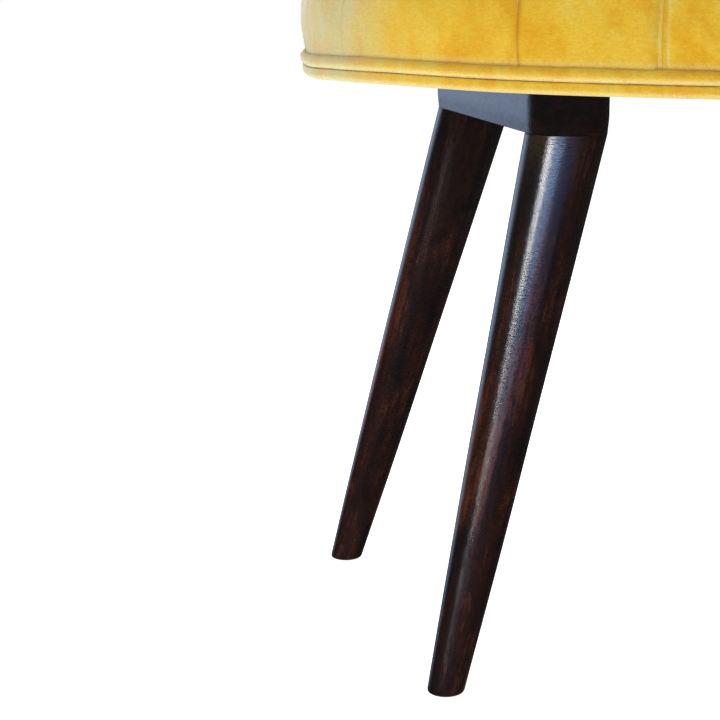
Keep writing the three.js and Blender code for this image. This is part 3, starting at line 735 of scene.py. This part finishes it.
def seat_swelling(thetas):
    """The cloth work of the seat: its panels swell between the hem, the folds and the buttons."""
    marks = np.concatenate([[0], ALL_FOLDS, [PERIMETER]])
    arcs = between(marks, 11 * MM)
    points = seat_points(theta_of(arcs))[0]
    keep = np.array([*range(2, points.shape[1] - 1, 2), points.shape[1] - 1])
    coarse = points[:, keep]
    x, y = coarse[..., 0], coarse[..., 1]
    on_fold = np.abs(arcs[:, None] - ALL_FOLDS[None, :]).min(1)[:, None] < MM
    flat = np.hypot(x / (HALF_LENGTH - RIM_ROLL_WIDTH), y / (HALF_DEPTH - RIM_ROLL_WIDTH)) < 1
    line = np.min([distance_to_segment(x, y, *ends) for ends in tuft_lines()], axis=0) < 6 * MM
    button = np.min([np.hypot(x - b.x, y - b.y) for b in BUTTONS], axis=0) < 18 * MM
    low = coarse[..., 2] < HEM_Z + 14 * MM
    held = low | (on_fold & ~flat) | (flat & (line | button))
    shift = swelling(coarse, held, closed=True, flip=True, pressure=2.5, limit=SEAT_SWELL_LIMIT)
    rows = np.interp(arc_of(np.mod(thetas, 2 * np.pi)), [*arcs, PERIMETER], np.arange(len(arcs) + 1))
    columns = np.interp(np.arange(points.shape[1]), keep, np.arange(len(keep)))
    spread = resampled_grid(shift, rows, columns, True)
    spread[:, :2] = 0
    height = seat_points(thetas)[0][..., 2:]
    return spread * (0.25 + 0.75 * smoothstep(height, RIM_WIDEST_Z, SEAT_TOP - 12 * MM))


def make_seat():
    thetas = rim_thetas()
    points, fold, rub, pale = seat_points(thetas)
    points = points + seat_swelling(thetas)
    rows, columns = points.shape[:2]
    faces = grid_faces(rows, columns, rows_close=True)
    replaced = ["seat_cover", "seat_foam", "rim_padding"]
    seat = make_object("seat_upholstery", points, faces, VELVET, replaced)
    shade(seat, fold=fold, rub=rub, pale=pale)
    weld(seat)


def ring_piece(name, thetas, section, material, replaced, rub):
    """A closed ring round the whole oval; section gives inset and height for every angle."""
    inset, height = section(thetas[:, None])
    points = oval(thetas[:, None], inset, height)
    rows, columns = points.shape[:2]
    faces = grid_faces(rows, columns, rows_close=True, columns_close=True)
    obj = make_object(name, points, faces, material, replaced)
    blank = np.zeros((rows, columns))
    # Painted highlight from the caller, and painted sheen near the two ends.
    shade(obj, rub=blank + rub, pale=blank + 0.8 * painted_end_sheen(thetas)[:, None])
    return obj


def make_seat_piping():
    turn = np.linspace(0, 2 * np.pi, 21)[:-1][None, :]
    thetas = even_thetas(3.5 * MM)
    lumps = lumps_along(oval(thetas, 0.0, 0.0), 55.0)[:, None]
    fine = lumps_along(oval(thetas, 0.0, 1.0), 190.0)[:, None]

    def section(theta):
        radius = PIPING_RADIUS + 0.35 * MM * lumps + 0.15 * MM * fine
        inset = PIPING_INSET - radius * np.cos(turn)
        sway = edge_wave(from_nearest_end(theta)) + 0.35 * MM * lumps
        return inset, PIPING_Z + sway + radius * np.sin(turn)

    # Painted highlight: a pale band on the lower front of the piping.
    rub = bell(turn + 0.72 - 2 * np.pi * (turn > np.pi), 0.45) * 0.85
    replaced = ["seat_piping"]
    roll = ring_piece("seat_piping_roll", thetas, section, PIPING_VELVET, replaced, rub)


def make_border_band():
    """The strip that wraps the bottom edge and turns under the seat."""
    bottom, top = BAND_LOW.z, BAND_HIGH.z
    corner = np.linspace(0, np.pi / 2, 7)
    upper_inset = 0.5 * MM + 1.2 * MM * (1 - np.sin(corner))
    upper_height = top + 0.2 * MM - 1.2 * MM * (1 - np.cos(corner))
    lower_inset = 0.5 * MM + 4.0 * MM * (1 - np.cos(corner))
    lower_height = bottom + 4.0 * MM * (1 - np.sin(corner))
    outline_inset = [*upper_inset, *lower_inset, 12 * MM, 25 * MM, 25 * MM, 4.6 * MM, 3.3 * MM]
    outline_height = [*upper_height, *lower_height, bottom, bottom, bottom + 1.6 * MM, bottom + 1.6 * MM, top]
    inset_line, height_line = np.array(outline_inset)[None, :], np.array(outline_height)[None, :]
    thetas = even_thetas(4 * MM)
    lumps = lumps_along(oval(thetas, 0.0, 0.0), 40.0, (9, 0, 0))[:, None]

    def section(theta):
        outer = inset_line < 20 * MM
        sway = edge_wave(from_nearest_end(theta))
        return inset_line + 0.3 * MM * lumps * outer, height_line + sway * outer

    # Painted highlight along the rounded bottom edge of the band.
    rub = bell(height_line - (bottom + 1.2 * MM), 1.5 * MM) * (inset_line < 6 * MM) * 0.8
    band = ring_piece("border_band_roll", thetas, section, VELVET, ["border_band"], rub)


def make_seam_stitches():
    """Short stitches in the groove between the border band and the piping."""
    count = int(PERIMETER / STITCH_PITCH)
    arcs = (np.arange(count) + 0.5) * PERIMETER / count
    turn = np.linspace(0, 2 * np.pi, 7)[:-1]
    shape = np.array([(-1.0, 0.15), (-0.6, 0.9), (0.6, 0.9), (1.0, 0.15)])
    size = len(shape) * len(turn)
    points, faces = [], []
    for i, arc in enumerate(arcs):
        thetas = theta_of(arc + shape[:, 0] * STITCH_REACH)
        tilt = shape[:, 0] * 0.25 * MM
        z = BAND_HIGH.z + 0.35 * MM + edge_wave(from_nearest_end(thetas)) + tilt
        radius = shape[:, 1] * STITCH_RADIUS
        inset = 2.0 * MM - radius[:, None] * np.cos(turn)[None, :]
        height = z[:, None] + radius[:, None] * np.sin(turn)[None, :]
        points.append(oval(thetas[:, None], inset, height).reshape(-1, 3))
        faces += [[i * size + k for k in face] for face in capped_faces(len(shape), len(turn))]
    make_object("seam_stitches", np.concatenate(points), faces, THREAD)


def make_buttons():
    """Covered buttons, domed, with small gathers round their edge."""
    turn = np.linspace(0, 2 * np.pi, 49)[:-1]
    underside = [(0.0, -2.0), (8.5, -2.0), (11.0, 0.0)]
    profile = np.array(underside + [(11.4, 1.6), (10.4, 3.4), (8.0, 5.0), (4.5, 6.1), (0.3, 6.5)])
    for i, centre in enumerate(BUTTONS):
        gather = 1 + 0.025 * np.sin(turn * 14 + i)[None, :] * (profile[:, :1] > 9)
        radius = profile[:, :1] * MM * gather
        height = np.repeat(profile[:, 1:] * MM, len(turn), 1)
        x = centre.x + radius * np.cos(turn)
        y = centre.y + radius * np.sin(turn)
        points = np.stack([x, y, centre.z - 2 * MM + height], -1)
        faces = grid_faces(len(profile), len(turn), columns_close=True)
        name, replaced = f"covered_button_{i + 1}", [f"seat_button_{i + 1}"]
        button = make_object(name, points, faces, VELVET, replaced)
        # Painted shade round the base of the button, where it sinks into the seat.
        fold = 0.6 * (1.0 - smoothstep(profile[:, 1:], -1.0, 2.5))
        # Painted highlight on the top of the dome.
        rub = 0.4 * smoothstep(profile[:, 1:], 4.5, 7.5)
        shade(button, fold=np.repeat(fold, len(turn), 1), rub=np.repeat(rub, len(turn), 1))
        weld(button, 0.7 * MM)


# ---- Back ----

def back_top(theta):
    dip = math.sin(BACK_START)
    rise = (np.sin(theta) - dip) / (1 - dip)
    return BACK_TOP_ENDS + (BACK_TOP_CENTRE - BACK_TOP_ENDS) * smoothstep(rise, 0, 1)


def catmull(points, count):
    """A smooth open line through points, resampled evenly."""
    p = np.array([2 * points[0] - points[1], *points, 2 * points[-1] - points[-2]])
    pieces = []
    for a, b, c, d in zip(p[:-3], p[1:-2], p[2:-1], p[3:]):
        pieces.append(spline(a, b, c, d, np.linspace(0, 1, 12, endpoint=False)[:, None]))
    line = np.concatenate([*pieces, p[-2:-1]])
    length = np.concatenate([[0], np.cumsum(np.linalg.norm(np.diff(line, axis=0), axis=1))])
    even = np.linspace(0, length[-1], count)
    return np.stack([np.interp(even, length, line[:, k]) for k in (0, 1)], -1)


def padded_line(top, count):
    """Inset and height up the inner face of the back and over its top roll, to the piping behind."""
    height = top - BACK_BASE
    line = [(126 * MM, BACK_BASE - 2 * MM)]
    line += [(inset, BACK_BASE + share * height) for share, inset in BACK_FACE]
    for share in (0.05, 0.35, 0.68, 1.0):
        turn = share * math.pi / 2
        inset = ROLL_CENTRE_INSET + ROLL_HALF_WIDTH * math.cos(turn)
        line.append((inset, top - ROLL_CENTRE_DROP + ROLL_HEIGHT * math.sin(turn)))
    line += [(66 * MM, top - 4 * MM), (51.5 * MM, top - 11.5 * MM)]
    return catmull(np.array(line), count)


def channel_arcs():
    """Arc lengths of the two ends of the back and of the seams between its channels, evenly spaced."""
    start, end = arc_of(BACK_START + 2 * np.pi) - PERIMETER, arc_of(BACK_END)
    return np.linspace(start, end, CHANNELS + 1)


def back_theta_of(arcs):
    """Angles of arc lengths along the back, which start below zero at its right end."""
    known = np.concatenate([FINE_ARC - PERIMETER, FINE_ARC[1:]])
    return np.interp(arcs, known, np.concatenate([FINE_THETA - 2 * np.pi, FINE_THETA[1:]]))


def padding_arcs():
    """Arc lengths along the back, close together at each seam and at the rounded ends."""
    start, *seams, end = channel_arcs()
    near = np.array([0, 1.2, 2.6, 4.5, 7.5, 12]) * MM
    spots = [np.array(seams) + side * step for step in near for side in (-1, 1)]
    ends = np.array([0, 0.6, 2, 4.5, 8, 12, 17, 23, 30]) * MM
    even = np.arange(start, end, 7 * MM)
    arcs = np.unique(np.round(np.concatenate([*spots, even, [end], start + ends, end - ends]), 5))
    arcs = arcs[(arcs >= start) & (arcs <= end)]
    return arcs[np.concatenate([[True], np.diff(arcs) > 0.4 * MM])]


def distance_to_ends(arcs):
    return np.minimum(arcs - arcs[0], arcs[-1] - arcs)


def back_swelling(surface, arcs, along, gap):
    """The cloth work of the back: each channel swells between its seams, the seat and the piping."""
    kept = [0]
    for i in range(1, len(arcs)):
        seam = gap[i] < 0.5 * MM
        if seam and arcs[i] - arcs[kept[-1]] < 5 * MM and len(kept) > 1:
            kept[-1] = i
        elif seam or arcs[i] - arcs[kept[-1]] > 9 * MM:
            kept.append(i)
    kept.append(len(arcs) - 1)
    rows, columns = np.unique(kept), np.arange(0, len(along), 2)
    coarse = surface[rows][:, columns]
    on_seam = gap[rows][:, None] < 0.5 * MM
    by_end = distance_to_ends(arcs)[rows][:, None] < 36 * MM
    by_edge = (along[columns] < 0.06) | (along[columns] > 0.84)
    held = on_seam | by_end | by_edge
    shift = swelling(coarse, held, closed=False, flip=False, pressure=2.0, limit=BACK_SWELL_LIMIT)
    at_row = np.interp(np.arange(len(arcs)), rows, np.arange(len(rows)))
    at_column = np.interp(np.arange(len(along)), columns, np.arange(len(columns)))
    return resampled_grid(shift, at_row, at_column, False)


def rounded(from_end, radius):
    """Rises from 0 at an end to 1 at a radius from it, along a quarter circle."""
    return np.sqrt(np.clip(1 - (1 - np.clip(from_end / radius, 0, 1)) ** 2, 0, 1))


def make_back_padding():
    """The inner back: channelled padding that rolls over the top, with rounded ends."""
    arcs = padding_arcs()
    thetas = back_theta_of(arcs)
    count = 54
    tops = back_top(thetas)
    lines = np.array([padded_line(top, count) for top in tops])
    gap = np.abs(arcs[:, None] - channel_arcs()[None, 1:-1]).min(1)[:, None]
    along = np.linspace(0, 1, count)[None, :]
    live = smoothstep(along, 0.0, 0.06) * (1 - smoothstep(along, 0.86, 1.0))
    crease = np.exp(-gap / (3.6 * MM)) * live
    puff = 4.5 * MM * (1 - bell(gap, 24 * MM)) * live

    surface = oval(thetas[:, None], lines[..., 0], lines[..., 1])
    push = puff - CHANNEL_DEPTH * crease - 2.0 * MM
    push = push + 0.9 * MM * roughness_of(surface, 16.0, 4) * live
    surface = surface + push[..., None] * normals_of(surface, False)

    surface = surface + back_swelling(surface, arcs, along[0], gap[:, 0])

    rear_heights = (tops - 26 * MM, (tops + BACK_BASE) / 2, np.full_like(tops, BACK_BASE - 2 * MM))
    rear = np.stack([oval(thetas, 54 * MM, z) for z in rear_heights], 1)
    loop = np.concatenate([surface, rear], 1)
    fullness = rounded(distance_to_ends(arcs), BACK_END_RADIUS)[:, None, None]
    core = oval(thetas[:, None], 90 * MM, BACK_BASE)
    core = np.broadcast_to(core, loop.shape).copy()
    core[..., 2] = BACK_BASE + (loop[..., 2] - BACK_BASE) * 0.80
    loop = core + (loop - core) * (0.02 + 0.98 * fullness)

    replaced = ["back_inner_cover", "back_foam"]
    faces = capped_faces(*loop.shape[:2])
    back = make_object("back_padding", loop, faces, VELVET, replaced)
    # Painted shade along the seams between the channels.
    shade(back, fold=np.concatenate([crease * 0.7, np.zeros((len(arcs), 3))], 1))
    weld(back)


def even_back_arcs(margin, step):
    start, end = channel_arcs()[0] + margin, channel_arcs()[-1] - margin
    return np.linspace(start, end, int((end - start) / step))


def make_back_panel():
    """The outer back: a smooth panel from the seat up to the piping."""
    thetas = back_theta_of(even_back_arcs(6 * MM, 5 * MM))
    hem = back_top(thetas) - 19 * MM
    share = np.linspace(0, 1, 26)[None, :]
    swell = np.clip(np.sin(np.pi * share), 0, 1) ** 0.8
    height = (BACK_BASE - 3 * MM) + (hem[:, None] - BACK_BASE + 3 * MM) * share
    inset = 50 * MM - 5.5 * MM * swell - 3.0 * MM * share
    surface = oval(thetas[:, None], inset, height)
    surface += (0.7 * MM * roughness_of(surface, 9.0, 6))[..., None] * normals_of(surface, False)
    inner = oval(thetas[:, None], inset + 4 * MM, height)[:, ::-1]
    loop = np.concatenate([surface, inner], 1)
    faces = capped_faces(*loop.shape[:2])
    panel = make_object("back_outer_panel", loop, faces, VELVET, ["back_outer_cover"])
    shade(panel)
    weld(panel)


def tube(path, radius, turn):
    """Points of a round tube along a path; each ring starts on the side that faces away from the seat."""
    tangent = np.gradient(path, axis=0)
    tangent /= np.linalg.norm(tangent, axis=1, keepdims=True)
    outward = np.stack([path[:, 0] / HALF_LENGTH ** 2, path[:, 1] / HALF_DEPTH ** 2, 0 * path[:, 0]], -1)
    outward /= np.linalg.norm(outward, axis=1, keepdims=True)
    first = outward - (outward * tangent).sum(1, keepdims=True) * tangent
    first /= np.linalg.norm(first, axis=1, keepdims=True)
    second = np.cross(tangent, first)
    ring = np.cos(turn)[None, :, None] * first[:, None] + np.sin(turn)[None, :, None] * second[:, None]
    return path[:, None] + ring * radius[:, None, None]


def make_back_piping():
    """Piping along the back's outer edge, turning down at both ends to the seat."""
    arcs = even_back_arcs(7 * MM, 4 * MM)
    thetas = back_theta_of(arcs)
    dip = BACK_PIPING_CORNER * (1 - rounded(distance_to_ends(arcs), BACK_PIPING_CORNER))
    crest = oval(thetas, BACK_PIPING_INSET, back_top(thetas) - BACK_PIPING_DROP - dip)
    drops = []
    for end in (0, -1):
        z = np.arange(BACK_BASE + 1 * MM, crest[end, 2] - 3 * MM, 4 * MM)
        drop = np.repeat(crest[end][None], len(z), 0)
        drop[:, 2] = z
        drops.append(drop)
    path = np.concatenate([drops[0], crest, drops[1][::-1]])
    for _ in range(3):
        path[1:-1] = (path[:-2] + 2 * path[1:-1] + path[2:]) / 4
    turn = np.linspace(0, 2 * np.pi, 15)[:-1]
    points = tube(path, BACK_PIPING_RADIUS + 0.3 * MM * lumps_along(path, 55.0), turn)
    faces = capped_faces(len(path), len(turn))
    piping = make_object("back_piping_roll", points, faces, PIPING_VELVET, ["back_piping"])
    # Painted highlight along one side of the piping.
    shade(piping, rub=np.tile(0.6 * bell(np.sin((turn - 0.6) / 2), 0.35), (len(path), 1)))


# ---- Legs ----

def leg_ends(end_name, side_name):
    """Top and foot centres of a leg, and their radii, from its block and its glide."""
    block_low, block_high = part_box(f"leg_block_{side_name}")
    glide_low, glide_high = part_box(f"foot_glide_{end_name}_{side_name}")
    leg_low, leg_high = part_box(f"leg_{end_name}_{side_name}")
    half_width = (block_high.x - block_low.x) / 2
    radius = half_width - BLOCK_LEDGE
    sign = -1 if end_name == "front" else 1
    top = Vector(((block_low.x + block_high.x) / 2, sign * (block_high.y - half_width), leg_high.z))
    foot = Vector(((glide_low.x + glide_high.x) / 2, (glide_low.y + glide_high.y) / 2, leg_low.z))
    foot_radius = abs(leg_low.y - foot.y) if sign < 0 else abs(leg_high.y - foot.y)
    return top, foot, radius, foot_radius


def make_leg(end_name, side_name):
    """A turned, tapered leg; its own axis is its local Z, so that the grain runs along it."""
    top, foot, top_radius, foot_radius = leg_ends(end_name, side_name)
    levels = [0.0, 0.0012, 0.003, 0.006, *np.linspace(0.02, 0.985, 44), 0.9955, 0.999, 1.0008]
    soften = {0.0: 1.6, 0.0012: 0.75, 0.003: 0.25, 1.0008: 0.12}
    turn = np.linspace(0, 2 * np.pi, 97)[:-1]
    rings = []
    for level in levels:
        centre = foot.lerp(top, level)
        radius = foot_radius + (top_radius - foot_radius) * level - soften.get(level, 0.0) * MM
        radius += LEG_BELLY * math.sin(math.pi * level)
        wave = 0.12 * MM * np.sin(2 * turn + 9 * level) + 0.06 * MM * np.sin(3 * turn - 14 * level)
        x = centre.x + (radius + wave) * np.cos(turn)
        y = centre.y + (radius + wave) * np.sin(turn)
        rings.append(np.stack([x, y, np.full_like(x, centre.z)], -1))
    place = Matrix.Translation(top) @ (top - foot).to_track_quat("Z", "Y").to_matrix().to_4x4()
    name = f"leg_{end_name}_{side_name}"
    faces = capped_faces(len(rings), len(turn), flip=True)
    leg = make_object(f"turned_{name}", moved_into(place, np.array(rings)), faces, WOOD, [name])
    leg.matrix_world = place
    weld(leg)


def make_block(side_name):
    """The rounded bar over a pair of legs, its edges eased so that the joint shows as a fine line."""
    low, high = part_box(f"leg_block_{side_name}")
    radius = (high.x - low.x) / 2
    centre_x, reach = (low.x + high.x) / 2, high.y - radius
    turn = np.linspace(0, np.pi, 49)
    rear_end = np.stack([np.cos(turn), np.sin(turn), np.ones_like(turn)], -1)
    straight = np.linspace(1, -1, 30)[1:-1]
    left_side = np.stack([-np.ones_like(straight), 0 * straight, straight], -1)
    outline = np.concatenate([rear_end, left_side, -rear_end, -left_side])
    height = (high.z - low.z) / MM
    lower_edge = [(0.0, 0.9), (0.3, 0.86), (2.5, 0.7), (5, 0.4), (8, 0.15), (11, 0.0)]
    upright = [(z, 0.0) for z in np.linspace(14, height - 2, 6)]
    levels = [*lower_edge, *upright, (height - 0.6, 0.1), (height, 0.5)]
    rings = []
    for z, ease in levels:
        reach_out = radius - ease * MM
        x = centre_x + reach_out * outline[:, 0]
        y = reach * outline[:, 2] + reach_out * outline[:, 1]
        rings.append(np.stack([x, y, np.full_like(x, low.z + z * MM)], -1))
    world = np.array(rings)
    dents = 0.1 * MM * roughness_of(world, 45.0, 8)
    world[..., 0] += dents * outline[:, 0]
    place = Matrix.Translation(Vector((centre_x, 0, high.z))) @ Matrix.Rotation(math.pi / 2, 4, "X")
    name, replaced = f"rounded_block_{side_name}", [f"leg_block_{side_name}"]
    faces = capped_faces(*world.shape[:2], flip=True)
    block = make_object(name, moved_into(place, world), faces, WOOD, replaced)
    block.matrix_world = place
    weld(block)


# ---- Stage, light and camera ----

def make_floor():
    half = 15.0
    mesh = bpy.data.meshes.new("floor")
    corners = [(-half, -half, 0), (half, -half, 0), (half, half, 0), (-half, half, 0)]
    mesh.from_pydata(corners, [], [(0, 1, 2, 3)])
    floor = bpy.data.objects.new("floor", mesh)
    bpy.context.scene.collection.objects.link(floor)
    m = Look("pale_floor", Roughness=0.9, Specular_IOR_Level=0.1, Emission_Strength=0.98)
    m.shader.inputs["Emission Color"].default_value = (1, 1, 1, 1)
    m.colour(m.ramp(m.noise(3.0, 4.0), [(0.3, (0.90, 0.90, 0.90)), (0.7, (0.93, 0.93, 0.93))]))
    mesh.materials.append(m.material)
    floor.visible_glossy = False


def area_light(name, place, aim, width, height, power, colour):
    data = bpy.data.lights.new(name, "AREA")
    data.shape = "RECTANGLE"
    data.size, data.size_y = width, height
    data.energy = power
    data.color = colour
    light = bpy.data.objects.new(name, data)
    bpy.context.scene.collection.objects.link(light)
    light.location = place
    light.rotation_euler = (Vector(aim) - Vector(place)).to_track_quat("-Z", "Y").to_euler()
    return light


def make_world():
    """White behind everything; light and reflections come from a dark room with a bluish wall at the left."""
    world = bpy.data.worlds.new("studio")
    bpy.context.scene.world = world
    world.use_nodes = True
    w = Nodes(world.node_tree, "Generated")
    facing = w.new("VectorMath")
    facing.operation = "DOT_PRODUCT"
    facing.inputs[1].default_value = (-0.35, 0.94, 0.0)
    w.link(w.coords, facing.inputs[0])
    across = w.grey(facing.outputs["Value"], 0.0, 1.0, (0.93, 0.99))
    upward = w.grey(w.axis(2), 0.0, 1.0, (-0.27, -0.09))
    wall = w.math("MULTIPLY", across, upward)
    room = w.tree.nodes["Background"]
    w.link(w.ramp(wall, [(0.0, (0.022, 0.022, 0.025)), (1.0, (0.54, 0.70, 1.0))]), room.inputs["Color"])
    room.inputs["Strength"].default_value = 1.0
    backdrop = w.new("Background", Color=(1, 1, 1, 1), Strength=1.0)
    mix = w.new("MixShader")
    w.link(w.new("LightPath").outputs["Is Camera Ray"], mix.inputs[0])
    w.link(room.outputs[0], mix.inputs[1])
    w.link(backdrop.outputs[0], mix.inputs[2])
    w.link(mix.outputs[0], w.tree.nodes["World Output"].inputs["Surface"])


def wall_panel(name, start, end, low, high, radiance, colour):
    """A lit panel on the window wall, which faces the front left leg; start and end run along it."""
    turn = math.radians(40)
    distance = 2.2
    leg = Vector((-0.53, -0.1, 0))
    middle = leg + Vector((-math.sin(turn), -math.cos(turn), 0)) * distance
    middle += Vector((math.cos(turn), -math.sin(turn), 0)) * (start + end) / 2
    middle.z = (low + high) / 2
    aim = middle + Vector((math.sin(turn), math.cos(turn), 0))
    width, height = end - start, high - low
    return area_light(name, middle, aim, width, height, radiance * math.pi * width * height, colour)


def make_lights():
    make_world()
    wall_panel("window_bright", -1.0, -0.3, 1.11, 1.65, 22.0, (0.95, 0.97, 1.0))
    wall_panel("window_middle", -0.3, 1.0, 1.14, 1.65, 12.0, (0.42, 0.60, 1.0))
    wall_panel("window_blue", 1.1, 4.2, 1.08, 1.7, 1.9, (0.25, 0.42, 1.0))
    overhead = area_light("overhead", (0.1, 0.3, 3.2), (0, 0, 0.3), 2.6, 2.6, 76, (1.0, 0.99, 0.97))
    overhead.visible_glossy = False
    left = area_light("left_fill", (-3.4, 0.6, 1.3), (-0.6, 0, 0.4), 2.0, 2.0, 8, (0.82, 0.9, 1.0))
    left.visible_glossy = False


def make_camera():
    """The viewpoint of a close look at the front left leg, as placed from the leg's top."""
    top = leg_ends("front", "left")[0]
    unit = top.z
    data = bpy.data.cameras.new("camera")
    data.lens = 103.1
    data.sensor_width = 36
    data.clip_start, data.clip_end = 0.05, 60
    camera = bpy.data.objects.new("camera", data)
    bpy.context.scene.collection.objects.link(camera)
    camera.location = (top.x - 1.162 * unit, top.y - 3.564 * unit, 1.325 * unit)
    camera.rotation_euler = (math.radians(90 - 11.27), 0, math.radians(-12.36))
    bpy.context.scene.camera = camera


dress_the_frame()
make_camera()
make_seat()
make_seat_piping()
make_border_band()
make_seam_stitches()
make_buttons()
make_back_padding()
make_back_panel()
make_back_piping()
for side in ("left", "right"):
    make_block(side)
    for end in ("front", "rear"):
        make_leg(end, side)
make_floor()
make_lights()
bpy.context.scene.view_settings.view_transform = "Standard"
